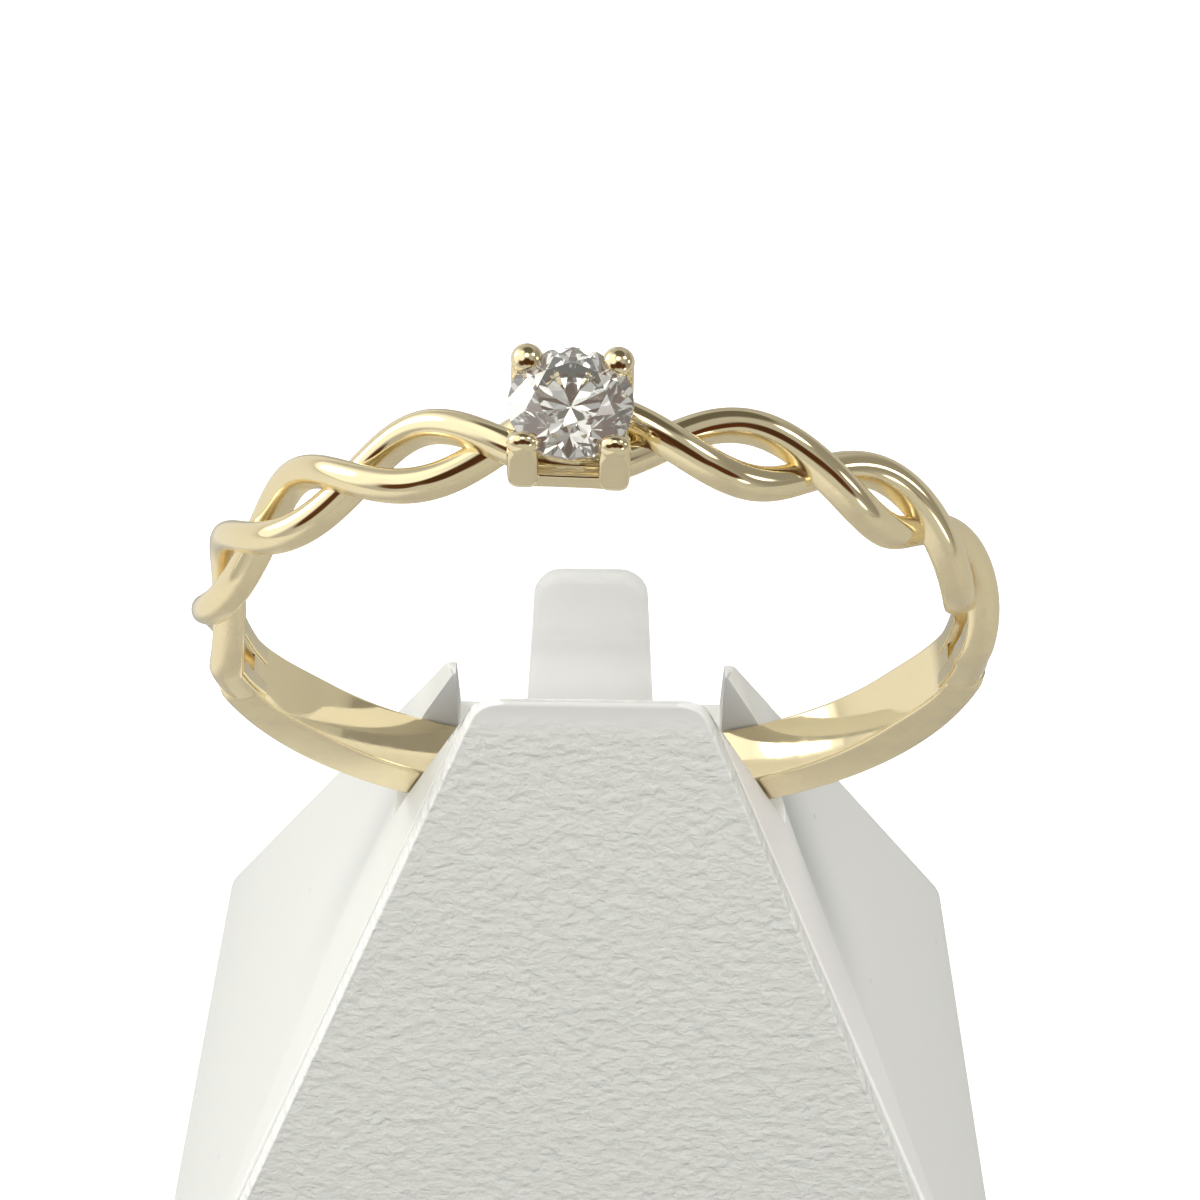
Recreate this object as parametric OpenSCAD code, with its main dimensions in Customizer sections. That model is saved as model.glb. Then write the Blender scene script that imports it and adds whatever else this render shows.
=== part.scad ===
// Solitaire ring with a twisted wire band, standing in the slot of a small ring stand.
// Millimetres. +Z up, the front of the stand faces -Y, the origin is the centre of its base.

/* [Ring] */
// Inside diameter of the ring
ring_inner_d = 17.0; // [15.5:0.1:18.5]
// Thickness of the plain shank, from the finger outwards
shank_t = 1.38; // [1.3:0.02:1.5]
// Width of the plain shank, along the finger
shank_w = 1.6; // [1.4:0.02:1.8]
// Turn of the ring in its slot, which leans the head to the left
ring_roll = 3.3; // [0:0.1:8]
// Turn of the ring about the upright axis, its right side backwards
ring_turn = 0.2; // [0:0.1:1]

/* [Twisted wires] */
// Width of a wire, along the finger
wire_w = 0.74; // [0.6:0.02:0.8]
// Thickness of a wire, from the finger outwards
wire_t = 0.8; // [0.6:0.02:0.84]
// How far each wire swings to either side of the middle, at the head
wire_sway = 0.74; // [0.6:0.02:0.8]
// How far each wire rises and dips as it crosses the other one
wire_rise = 0.26; // [0.2:0.02:0.3]
// Angle round the ring from one crossing to the next
cross_step = 24.2; // [22:0.2:27]
// Angle from the head at which the wires have run into the shank
twist_end = 108; // [104:1:112]

/* [Head and stone] */
// Diameter of the stone
stone_d = 2.87; // [2.4:0.01:3.2]
// Height of the stone's girdle above the centre of the ring
girdle_h = 10.71; // [10.6:0.01:11]
// Distance of a claw from the head's middle planes
claw_offset = 1.03; // [0.95:0.01:1.1]
// Width of a claw
claw_w = 0.72; // [0.6:0.02:0.8]
// Diameter of the ball on top of a claw
bead_d = 0.74; // [0.6:0.02:0.8]
// Turn of the head about its own upright axis
head_turn = 1.6; // [0:0.2:6]

/* [Stand] */
// Height of the ring's centre above the table
ring_h = 34; // [32:1:40]
// Depth of the base, front to back
base_depth = 18.3; // [16:0.1:22]
// Width of the base at the front
base_front_w = 26.2; // [22:0.1:30]
// Width of the base at the back
base_back_w = 22; // [18:0.1:26]
// Width of the front ridge
ridge_w = 5.96; // [5:0.02:7]
// How far the ridge, slot and tongue sit to the right of the middle of the base
top_shift = 0.1; // [0:0.05:0.5]
// Width over the two ears behind the ring
ears_w = 7.4; // [7.2:0.1:8]
// Width of the opening between the ears
ear_gap = 6.8; // [6.4:0.1:7]
// Thickness of the front panel
panel_t = 0.45; // [0.3:0.05:0.6]
// Width of the tongue at its top
tongue_top_w = 2.8; // [2.2:0.1:3]
// Width of the tongue at its foot
tongue_foot_w = 3.6; // [3:0.1:4]
// Thickness of the tongue
tongue_t = 0.4; // [0.3:0.05:0.6]

/* [Hidden] */

// Places that follow from the sizes above
ring_x = top_shift + 0.12;
ring_y = 0.95;
inner_r = ring_inner_d / 2;
wire_middle_r = inner_r + wire_t / 2 + wire_rise;
fit_gap = 0.05;

// Sweep settings: sides of a section and angle from one section to the next
wire_sides = 12;
shank_sides = 16;
wire_angle_step = 2.25;
shank_angle_step = 4;
wire_back_squareness = 2.3;
wire_inside_squareness = 4;
shank_squareness = 8;

// The wires cross this many times on each side of the head, then run side by side into the shank
crossings = 4;
// Over these angles from the head they draw together and get slimmer, down to these shares
closing_start = 88;
closing_end = 114;
closed_share = 0.73;
slimmed_share = 0.82;
narrowing_per_degree = 0.00186;
// Side by side they also get a little thicker outwards, over these angles
tail_growth = 0.1;
tail_start = 90;
tail_full = 102;
// The shank starts between the wires, as thick as they are, and reaches its full section slowly
shank_start = 103.5;
shank_full_width = 105.5;
shank_tip_share = 0.85;
inside_recess = 0.32;
inside_recess_end = 125;
outside_recess = 0.12;
outside_recess_end = 146;

// Soft step from 0 to 1
function ease(t) = let (u = min(1, max(0, t))) u * u * (3 - 2 * u);
function unit(v) = v / norm(v);
function signed_power(x, p) = sign(x) * pow(abs(x), p);

// Section of a wire or shank: a rectangle with full, rounded corners, away from the finger and
// towards it each in its own measure
function section(w, t, sides, back_squareness, inside_squareness) = [
    for (i = [0 : sides - 1])
        let (
            a = 360 * (i + 0.5) / sides,
            power = 2 / (a < 180 ? back_squareness : inside_squareness)
        )
        [w / 2 * signed_power(cos(a), power), t / 2 * signed_power(sin(a), power)]
];

// Goes from 1 to a share over the angles where the wires draw together
function closing(a, share) =
    1 - (1 - share) * ease((abs(a) - closing_start) / (closing_end - closing_start));

// How much thicker than the rest a wire is where it nears the shank
function tail(a) = tail_growth * ease((abs(a) - tail_start) / (tail_full - tail_start));

// Half the side to side swing of a wire at an angle from the head
function sway(a) = wire_sway * (1 - narrowing_per_degree * abs(a)) * closing(a, closed_share);

// Middle of a wire at angle a from the head; side is 0 or 1, half a turn apart
function wire_point(a, side) =
    let (
        steps = min(crossings, max(-crossings, a / cross_step)),
        turn = 180 * (steps + side),
        r = wire_middle_r + wire_rise * sin(turn) + tail(a) / 2
    )
    [r * sin(a), sway(a) * cos(turn), r * cos(a)];

// Points of one section: the middle p, the direction of travel and the way out from the finger
function section_at(p, travel, outward, shape) =
    let (u = unit(cross(outward, travel)), v = cross(travel, u))
    [for (s = shape) p + s[0] * u + s[1] * v];

module skin(sections) {
    sides = len(sections[0]);
    last = len(sections) - 1;
    faces = concat(
        [[for (j = [0 : sides - 1]) j]],
        [[for (j = [sides - 1 : -1 : 0]) last * sides + j]],
        [for (i = [0 : last - 1], j = [0 : sides - 1])
            let (k = (j + 1) % sides)
            [i * sides + j, (i + 1) * sides + j, (i + 1) * sides + k, i * sides + k]]
    );
    polyhedron([for (s = sections) each s], faces, convexity = 10);
}

module twisted_wire(side) {
    steps = round(2 * twist_end / wire_angle_step);
    small = 0.01;
    skin([
        for (i = [0 : steps])
            let (
                a = -twist_end + 2 * twist_end * i / steps,
                travel = unit(wire_point(a + small, side) - wire_point(a - small, side)),
                width = wire_w * closing(a, slimmed_share),
                thickness = wire_t + tail(a),
                shape = section(width, thickness, wire_sides, wire_back_squareness, wire_inside_squareness)
            )
            section_at(wire_point(a, side), travel, [sin(a), 0, cos(a)], shape)
    ]);
}

module plain_shank() {
    steps = round((360 - 2 * shank_start) / shank_angle_step);
    skin([
        for (i = [0 : steps])
            let (
                a = shank_start + (360 - 2 * shank_start) * i / steps,
                from_head = min(a, 360 - a),
                width_grown = ease((from_head - shank_start) / (shank_full_width - shank_start)),
                inside_grown = ease((from_head - shank_start) / (inside_recess_end - shank_start)),
                outside_grown = ease((from_head - shank_start) / (outside_recess_end - shank_start)),
                width = shank_w * (shank_tip_share + (1 - shank_tip_share) * width_grown),
                low = inner_r + inside_recess * (1 - inside_grown),
                high = inner_r + shank_t - outside_recess * (1 - outside_grown)
            )
            section_at(
                (low + high) / 2 * [sin(a), 0, cos(a)],
                [cos(a), 0, -sin(a)],
                [sin(a), 0, cos(a)],
                section(width, high - low, shank_sides, shank_squareness, shank_squareness)
            )
    ]);
}

// Sizes of the four claw head
claw_foot_h = girdle_h - 1.68;
claw_top_h = girdle_h + 0.1;
bead_h = girdle_h + 0.1;
bead_flatness = 0.9;
rail_h = claw_foot_h + 0.32;
rail_d = 0.44;
rail_inset = 0.06;
claw_corner_r = 0.2;
stone_clearance = 0.03;

module rounded_square(w, h) {
    linear_extrude(h)
        for (side = [0 : 1])
            rotate(90 * side)
                square([w, w - 2 * claw_corner_r], center = true);
    for (x = [-1, 1], y = [-1, 1])
        translate([x, y, 0] * (w / 2 - claw_corner_r))
            cylinder(h, r = claw_corner_r, $fn = 16);
}

module claw() {
    foot_w = claw_w - 0.12;
    shoulder_h = 0.1;
    hull() {
        translate([0, 0, claw_foot_h])
            rounded_square(foot_w, 0.02);
        translate([0, 0, claw_foot_h + shoulder_h])
            rounded_square(claw_w, claw_top_h - claw_foot_h - shoulder_h);
    }
    translate([0, 0, bead_h])
        scale([1, 1, bead_flatness])
            sphere(d = bead_d, $fn = 20);
}

// One side of the head: a claw and the rail that runs from it to the next one
module head_side() {
    translate([-claw_offset, -claw_offset, 0])
        claw();
    hull()
        for (x = [-1, 1])
            translate([x * claw_offset, rail_inset - claw_offset, rail_h])
                sphere(d = rail_d, $fn = 16);
}

// Round brilliant with its girdle at z = 0
crown_angle = 34.5;
table_share = 0.56;
star_share = 0.76;
pavilion_angle = 40.8;
lower_half_share = 0.26;
girdle_share = 0.03;

function ring_of(r, z, count, start) =
    [for (i = [0 : count - 1]) [r * cos(start + 360 * i / count), r * sin(start + 360 * i / count), z]];

module brilliant(d) {
    r = d / 2;
    half_girdle = girdle_share * r;
    table_r = table_share * r;
    star_r = star_share * r;
    lower_r = lower_half_share * r;
    table_z = half_girdle + (r - table_r) * tan(crown_angle);
    star_z = table_z - (star_r * cos(22.5) - table_r) * tan(crown_angle);
    culet_z = -half_girdle - r * tan(pavilion_angle);
    lower_z = culet_z + lower_r * cos(22.5) * tan(pavilion_angle);
    // Vertex rings: table 0-7, star tips 8-15, girdle 16-31 and 32-47, pavilion 48-55, culet 56
    points = concat(
        ring_of(table_r, table_z, 8, 0),
        ring_of(star_r, star_z, 8, 22.5),
        ring_of(r, half_girdle, 16, 0),
        ring_of(r, -half_girdle, 16, 0),
        ring_of(lower_r, lower_z, 8, 22.5),
        [[0, 0, culet_z]]
    );
    table = [[for (i = [7 : -1 : 0]) i]];
    facets = [
        for (i = [0 : 7])
            let (
                next = (i + 1) % 8,
                before = (i + 7) % 8,
                main = 2 * i,
                half = main + 1,
                next_main = (main + 2) % 16
            )
            each [
                [i, next, 8 + i],
                [i, 8 + i, 16 + main, 8 + before],
                [8 + i, 16 + half, 16 + main],
                [8 + i, 16 + next_main, 16 + half],
                [16 + main, 16 + half, 32 + half, 32 + main],
                [16 + half, 16 + next_main, 32 + next_main, 32 + half],
                [48 + i, 32 + main, 32 + half],
                [48 + i, 32 + half, 32 + next_main],
                [48 + i, 56, 48 + before, 32 + main]
            ]
    ];
    polyhedron(points, concat(table, facets), convexity = 2);
}

module place_ring() {
    translate([ring_x, ring_y, ring_h])
        rotate([0, -ring_roll, ring_turn])
            children();
}

// The head sits where the roll of the ring puts it, but stands upright
module place_head() {
    translate([ring_x - girdle_h * sin(ring_roll), ring_y, ring_h])
        rotate([0, 0, -head_turn])
            children();
}

module gold_ring() {
    color("#e6cf8c")
        difference() {
            union() {
                place_ring() {
                    twisted_wire(0);
                    twisted_wire(1);
                    plain_shank();
                }
                place_head()
                    for (turn = [0 : 90 : 270])
                        rotate(turn)
                            head_side();
            }
            place_head()
                translate([0, 0, girdle_h])
                    brilliant(stone_d + 2 * stone_clearance);
        }
}

module diamond() {
    color("#eef1f4")
        place_head()
            translate([0, 0, girdle_h])
                brilliant(stone_d);
}

// The tapered block of the stand: base corners, ridges and the slot the ring stands in
base_front_y = -base_depth / 2;
base_back_y = base_depth / 2;
ridge_front_y = ring_y - 1.05;
ridge_front_h = ring_h - 2.65;
ear_tip_y = ring_y + 1.45;
ear_tip_h = ring_h - 5.45;
back_corner_r = 0.9;
front_corner_r = 0.2;
ridge_end_r = 0.8;
ear_end_r = 0.15;
slot_clearance = 0.07;
slot_front_y = ring_y - shank_w / 2 - slot_clearance;
slot_back_y = ring_y + shank_w / 2 + slot_clearance;
slot_floor_h = ring_h - inner_r - shank_t - fit_gap;
panel_lean = atan((ridge_front_y - base_front_y) / ridge_front_h);

// Tongue: a flat leaf whose foot stands in a pocket at the back of the slot
tongue_front_y = slot_back_y;
tongue_top_h = ring_h + 0.38;
tongue_foot_h = slot_floor_h - 3;
tongue_corner_r = 0.7;
tongue_corner_stretch = 1.7;

// A ridge of the block, with its two ends rounded
module ridge_bar(w, y, h, end_r) {
    bar = 0.1;
    for (side = [-1, 1])
        translate([top_shift + side * (w / 2 - end_r), y + bar / 2, h - end_r])
            rotate([90, 0, 0])
                cylinder(bar, r = end_r, $fn = 32);
}

module tapered_block() {
    corner_h = 0.6;
    hull() {
        for (side = [-1, 1]) {
            translate([side * (base_front_w / 2 - front_corner_r), base_front_y + front_corner_r, 0])
                cylinder(corner_h, r = front_corner_r, $fn = 24);
            translate([side * (base_back_w / 2 - back_corner_r), base_back_y - back_corner_r, 0])
                cylinder(corner_h, r = back_corner_r, $fn = 32);
        }
        ridge_bar(ridge_w, ridge_front_y, ridge_front_h, ridge_end_r);
        ridge_bar(ears_w, ear_tip_y, ear_tip_h, ear_end_r);
    }
}

// Everything in front of a plane that lies this deep behind the sloping front of the block
module before_panel(depth) {
    big = 60;
    translate([-big / 2, base_front_y, 0])
        rotate([-panel_lean, 0, 0])
            translate([0, -big, -big / 2])
                cube([big, big + depth, 2 * big]);
}

module tongue_outline(gap) {
    hull() {
        for (side = [-1, 1])
            translate([
                side * (tongue_top_w / 2 - tongue_corner_r),
                tongue_top_h - tongue_corner_r * tongue_corner_stretch
            ])
                scale([1, tongue_corner_stretch])
                    circle(tongue_corner_r + gap, $fn = 48);
        translate([-tongue_foot_w / 2 - gap, tongue_foot_h - gap])
            square([tongue_foot_w + 2 * gap, 1]);
    }
}

module tongue_plate(gap) {
    translate([top_shift, tongue_front_y + tongue_t + gap, 0])
        rotate([90, 0, 0])
            linear_extrude(tongue_t + 2 * gap)
                tongue_outline(gap);
}

module stand_body() {
    wide = 40;
    tall = 40;
    color("#f1f2ee")
        difference() {
            tapered_block();
            before_panel(panel_t + fit_gap);
            translate([-wide / 2, slot_front_y, slot_floor_h])
                cube([wide, slot_back_y - slot_front_y, tall]);
            translate([top_shift - ear_gap / 2, slot_front_y, slot_floor_h])
                cube([ear_gap, wide, tall]);
            tongue_plate(fit_gap);
        }
}

// The facing: the slice of the block between its front plane and the panel's own thickness
module front_panel() {
    wide = 40;
    color("#d3d4cf")
        intersection() {
            tapered_block();
            before_panel(panel_t);
            translate([-wide / 2, -wide + slot_front_y, 0])
                cube([wide, wide, wide]);
        }
}

module tongue() {
    color("#e4e6e2")
        tongue_plate(0);
}

gold_ring();
diamond();
stand_body();
front_panel();
tongue();
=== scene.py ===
import math

import bmesh
import bpy
from mathutils import Matrix, Vector


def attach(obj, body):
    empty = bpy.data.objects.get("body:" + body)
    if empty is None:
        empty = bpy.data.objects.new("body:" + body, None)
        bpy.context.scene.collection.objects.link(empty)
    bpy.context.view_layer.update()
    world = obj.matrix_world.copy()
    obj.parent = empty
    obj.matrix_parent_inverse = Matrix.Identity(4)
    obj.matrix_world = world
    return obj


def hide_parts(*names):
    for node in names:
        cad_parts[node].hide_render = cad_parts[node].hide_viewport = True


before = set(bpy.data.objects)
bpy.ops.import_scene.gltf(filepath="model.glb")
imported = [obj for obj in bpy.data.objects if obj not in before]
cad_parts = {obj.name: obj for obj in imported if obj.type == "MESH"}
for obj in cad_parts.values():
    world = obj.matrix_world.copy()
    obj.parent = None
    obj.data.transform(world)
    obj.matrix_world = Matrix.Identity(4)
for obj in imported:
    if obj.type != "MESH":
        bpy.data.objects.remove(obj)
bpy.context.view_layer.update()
MM = 0.001


# The view: one long lens in front of the stand, high above it and looking down at the head of
# the ring. The camera is tipped a little on its axis, as a hand-held one is.
VIEW_AIM = Vector((0.32, 0.95, 35.05)) * MM
VIEW_DISTANCE = 120 * MM
VIEW_HEIGHT = math.radians(62.9)
VIEW_TIP = math.radians(0.79)
VIEW_LENS = 149.04
VIEW_SENSOR = 36


def put_in_scene(name, data):
    """A new object at the origin, made of a mesh, a light or a camera."""
    made = bpy.data.objects.new(name, data)
    bpy.context.scene.collection.objects.link(made)
    return made


back = Vector((0, -math.cos(VIEW_HEIGHT), math.sin(VIEW_HEIGHT)))
looking = (-back).to_track_quat("-Z", "Y").to_matrix().to_4x4()
camera = put_in_scene("view", bpy.data.cameras.new("view"))
camera.data.sensor_width = VIEW_SENSOR
camera.data.lens = VIEW_LENS
camera.data.clip_start = 0.01
camera.data.clip_end = 20
camera.matrix_world = (
    Matrix.Translation(VIEW_AIM + back * VIEW_DISTANCE) @ looking @ Matrix.Rotation(VIEW_TIP, 4, "Z")
)
bpy.context.scene.camera = camera
bpy.context.scene.view_settings.view_transform = "Standard"


# The table and the room: a seamless white sweep under a tent of soft white light. It is brightest
# on the left, dim on the right, and dark in front, where the camera and its operator stand.
FLOOR_RADIUS = 1.5
FLOOR_SIDES = 64
# the sweep's colour holds painted shade in front, where the operator stands, and painted light to the
# left and, less, to the right
FLOOR_PAINTED_SHADE_IN_FRONT = (0.36, 0.36, 0.355, 1)
FLOOR_PAINTED_LIGHT_AT_LEFT = (0.62, 0.62, 0.61, 1)
FLOOR_PAINTED_LIGHT_AT_RIGHT = (0.40, 0.40, 0.39, 1)
FLOOR_FADE_START = 17 * MM
FLOOR_FADE_END = 34 * MM
TENT_COLOUR = (0.50, 0.50, 0.49, 1)
WHITE = (1, 1, 1, 1)
# name, azimuth from the right towards the back, height, inner and outer half angle, colour
ROOM_PATCHES = (
    ("left_window", 162, 11, 27, 47, (1.15, 1.15, 1.12, 1)),
    ("dim_right", 12, 8, 26, 58, (0.30, 0.29, 0.27, 1)),
    ("low_front", -90, 0, 30, 44, (0.6, 0.6, 0.58, 1)),
    ("dim_back", 84, 44, 20, 30, (0.14, 0.13, 0.105, 1)),
    ("ceiling_light", 95, 78, 9, 15, (2.0, 2.0, 1.94, 1)),
    ("dark_front", -90, 58, 20, 30, (0.07, 0.03, 0.012, 1)),
    ("dark_right", -48, 40, 14, 22, (0.09, 0.03, 0.01, 1)),
    ("dark_left", -134, 37, 15, 23, (0.10, 0.04, 0.015, 1)),
    ("small_lamp", 31, 48, 5, 9, (5.0, 5.0, 4.8, 1)),
    ("window_pane", 151, 15, 8, 14, (5.2, 5.2, 5.0, 1)),
    ("high_left", 182, 58, 12, 24, (1.15, 1.15, 1.1, 1)),
    ("left_back", 136, 48, 8, 20, (1.25, 1.25, 1.18, 1)),
    ("right_pane", 6, 22, 3, 9, (3.8, 3.8, 3.5, 1)),
    ("right_lamp", -47, 13, 3, 8, (3.2, 3.2, 2.9, 1)),
)
# name, place in metres, size in metres, watts
SOFT_BOXES = (
    ("window_light", (-0.55, -0.05, 0.35), 0.5, 0.02),
    ("front_light", (0.0, -0.34, 0.72), 0.6, 5.7),
    ("right_fill", (0.55, -0.02, 0.30), 0.4, 0.4),
)


def add_node(tree, kind, inputs=(), **settings):
    """A new node with its settings, and each input either linked or set."""
    made = tree.nodes.new(kind)
    for name, value in settings.items():
        setattr(made, name, value)
    for key, value in dict(inputs).items():
        if isinstance(value, bpy.types.NodeSocket):
            tree.links.new(value, made.inputs[key])
        else:
            made.inputs[key].default_value = value
    return made


def outlet(tree, kind, inputs=(), key=0, **settings):
    """One output of a new node."""
    return add_node(tree, kind, inputs, **settings).outputs[key]


def eased(tree, value, start, end, low=0.0, high=1.0, way="SMOOTHSTEP"):
    """Goes from low to high while the value goes from start to end."""
    ends = {"Value": value, "From Min": start, "From Max": end, "To Min": low, "To Max": high}
    return outlet(tree, "ShaderNodeMapRange", ends, interpolation_type=way)


def toned(tree, share, one, two):
    """Colour one, which turns into colour two as the share goes from 0 to 1."""
    return outlet(tree, "ShaderNodeMix", {"Factor": share, 6: one, 7: two}, key=2, data_type="RGBA")


def xyz(tree, vector):
    return add_node(tree, "ShaderNodeSeparateXYZ", {0: vector}).outputs


def direction(azimuth, height):
    a, h = math.radians(azimuth), math.radians(height)
    return Vector((math.cos(a) * math.cos(h), math.sin(a) * math.cos(h), math.sin(h)))


room = bpy.data.worlds.new("room")
bpy.context.scene.world = room
room.use_nodes = True
tree = room.node_tree
tree.nodes.clear()
way = outlet(tree, "ShaderNodeTexCoord", key="Generated")
colour = TENT_COLOUR
for name, azimuth, height, inner, outer, patch in ROOM_PATCHES:
    both = {0: way, 1: direction(azimuth, height)}
    nearness = outlet(
        tree, "ShaderNodeVectorMath", both, key="Value", operation="DOT_PRODUCT", label=name
    )
    edge, core = math.cos(math.radians(outer)), math.cos(math.radians(inner))
    colour = toned(tree, eased(tree, nearness, edge, core), colour, patch)
tent = outlet(tree, "ShaderNodeBackground", {"Color": colour})
backdrop = outlet(tree, "ShaderNodeBackground", {"Color": WHITE})
seen = outlet(tree, "ShaderNodeLightPath", key="Is Camera Ray")
light = outlet(tree, "ShaderNodeMixShader", {0: seen, 1: tent, 2: backdrop})
add_node(tree, "ShaderNodeOutputWorld", {"Surface": light})


def new_material(name, **sockets):
    """A material whose Principled sockets are set by name, with its tree and its shader."""
    made = bpy.data.materials.new(name)
    made.use_nodes = True
    shader = made.node_tree.nodes["Principled BSDF"]
    for key, value in sockets.items():
        shader.inputs[key.replace("_", " ")].default_value = value
    return made, made.node_tree, shader


floor_paint, tree, shader = new_material("white_sweep", Roughness=0.8, Emission_Color=WHITE)
across = xyz(tree, outlet(tree, "ShaderNodeTexCoord", key="Object"))[0]
# Painted light and shade on the sweep, seen in the gold's reflections: shade in front, light towards
# the sides. The camera sees the sweep evenly white by its glow.
paint = FLOOR_PAINTED_SHADE_IN_FRONT
for side, tone in ((-1, FLOOR_PAINTED_LIGHT_AT_LEFT), (1, FLOOR_PAINTED_LIGHT_AT_RIGHT)):
    aside = eased(tree, across, side * FLOOR_FADE_START, side * FLOOR_FADE_END)
    paint = toned(tree, aside, paint, tone)
tree.links.new(paint, shader.inputs["Base Color"])
seen = outlet(tree, "ShaderNodeLightPath", key="Is Camera Ray")
tree.links.new(seen, shader.inputs["Emission Strength"])
bm = bmesh.new()
bmesh.ops.create_circle(bm, cap_ends=True, segments=FLOOR_SIDES, radius=FLOOR_RADIUS)
floor_mesh = bpy.data.meshes.new("floor")
bm.to_mesh(floor_mesh)
bm.free()
floor_mesh.materials.append(floor_paint)
floor = put_in_scene("floor", floor_mesh)

for name, place, size, watts in SOFT_BOXES:
    lamp = put_in_scene(name, bpy.data.lights.new(name, "AREA"))
    lamp.data.size = size
    lamp.data.energy = watts
    lamp.location = place
    lamp.rotation_euler = (VIEW_AIM - Vector(place)).to_track_quat("-Z", "Y").to_euler()
    lamp.visible_glossy = False
    lamp.visible_transmission = False


# The twisted wires: two gold wires with flat sides and a domed back, which cross over and under
# each other round the upper half of the ring and run into the shank at both ends.
RING_CENTRE = Vector((0.22, 0.95, 34.0)) * MM
RING_ROLL = math.radians(3.3)
RING_TURN = math.radians(0.2)
RING_INNER_R = 8.5 * MM
WIRE_T = 0.80 * MM
WIRE_RISE = 0.26 * MM
# the share of its sway that a wire loses in each degree from the top of the ring
WIRE_NARROWING = 0.00186
GOLD = (0.95, 0.82, 0.53, 1)

gold, gold_tree, gold_shader = new_material("polished_yellow_gold", Base_Color=GOLD, Metallic=1.0)
WIRE_INPUTS = (
    # name, kind, value
    ("Wire width", "NodeSocketFloat", 0.74 * MM),
    ("Wire thickness", "NodeSocketFloat", WIRE_T),
    ("Outer squareness", "NodeSocketFloat", 2.2),
    ("Inner squareness", "NodeSocketFloat", 4.0),
    ("Sway", "NodeSocketFloat", 0.74 * MM),
    ("Rise", "NodeSocketFloat", WIRE_RISE),
    ("Ring radius", "NodeSocketFloat", RING_INNER_R + WIRE_T / 2 + WIRE_RISE),
    ("Crossing step", "NodeSocketFloat", math.radians(24.2)),
    ("Crossings", "NodeSocketFloat", 4.0),
    ("Half length", "NodeSocketFloat", math.radians(108)),
    ("Closing start", "NodeSocketFloat", math.radians(88)),
    ("Closing end", "NodeSocketFloat", math.radians(114)),
    ("Closed share", "NodeSocketFloat", 0.73),
    ("Slimmed share", "NodeSocketFloat", 0.82),
    ("Narrowing", "NodeSocketFloat", math.degrees(WIRE_NARROWING)),
    ("Tail growth", "NodeSocketFloat", 0.1 * MM),
    ("Tail start", "NodeSocketFloat", math.radians(90)),
    ("Tail full", "NodeSocketFloat", math.radians(102)),
    ("Wires", "NodeSocketInt", 2),
    ("Sections", "NodeSocketInt", 420),
    ("Sides", "NodeSocketInt", 40),
    ("Finish", "NodeSocketMaterial", gold),
)

place_ring = (
    Matrix.Translation(RING_CENTRE)
    @ Matrix.Rotation(RING_TURN, 4, "Z")
    @ Matrix.Rotation(-RING_ROLL, 4, "Y")
)


def new_tree(name, rows):
    """A Geometry Nodes tree with named inputs, and the node that hands them out."""
    tree = bpy.data.node_groups.new(name, "GeometryNodeTree")
    tree.interface.new_socket("Geometry", in_out="INPUT", socket_type="NodeSocketGeometry")
    tree.interface.new_socket("Geometry", in_out="OUTPUT", socket_type="NodeSocketGeometry")
    for label, kind, _ in rows:
        tree.interface.new_socket(label, in_out="INPUT", socket_type=kind)
    return tree, tree.nodes.new("NodeGroupInput").outputs


def maths(tree, operation, *terms):
    return outlet(tree, "ShaderNodeMath", enumerate(terms), operation=operation)


def vector_maths(tree, operation, one, two):
    """Sums on vectors. SCALE takes a number second, and DOT_PRODUCT gives a number."""
    terms = {0: one, "Scale" if operation == "SCALE" else 1: two}
    key = "Value" if operation == "DOT_PRODUCT" else "Vector"
    return outlet(tree, "ShaderNodeVectorMath", terms, key=key, operation=operation)


def turned_copies(tree, shape, count):
    """Copies of a shape, turned about the upright axis in equal steps."""
    spots = outlet(tree, "GeometryNodePoints", {"Count": count})
    step = maths(tree, "DIVIDE", math.tau, count)
    spin = maths(tree, "MULTIPLY", outlet(tree, "GeometryNodeInputIndex"), step)
    spin = outlet(tree, "ShaderNodeCombineXYZ", {"Z": spin})
    copies = {"Points": spots, "Instance": shape, "Rotation": spin}
    return outlet(tree, "GeometryNodeInstanceOnPoints", copies)


def end_tree(tree, shape, finish):
    """Makes every copy real, gives the whole its material and hands it out."""
    shape = outlet(tree, "GeometryNodeRealizeInstances", {0: shape})
    shape = outlet(tree, "GeometryNodeSetMaterial", {"Geometry": shape, "Material": finish})
    add_node(tree, "NodeGroupOutput", {"Geometry": shape})


def applied(host):
    """The plain mesh that an object's modifiers make. The object itself goes."""
    graph = bpy.context.evaluated_depsgraph_get()
    made = bpy.data.meshes.new_from_object(host.evaluated_get(graph))
    bpy.data.objects.remove(host)
    return made


def grown(name, tree, rows, mesh=None):
    """Runs a tree on a mesh and returns the result as a plain mesh."""
    host = put_in_scene(name, mesh or bpy.data.meshes.new(name))
    step = host.modifiers.new(name, "NODES")
    step.node_group = tree
    given = [item for item in tree.interface.items_tree if item.in_out == "INPUT"]
    sockets = {item.name: item.identifier for item in given}
    for label, _, value in rows:
        step[sockets[label]] = value
    return applied(host)


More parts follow.
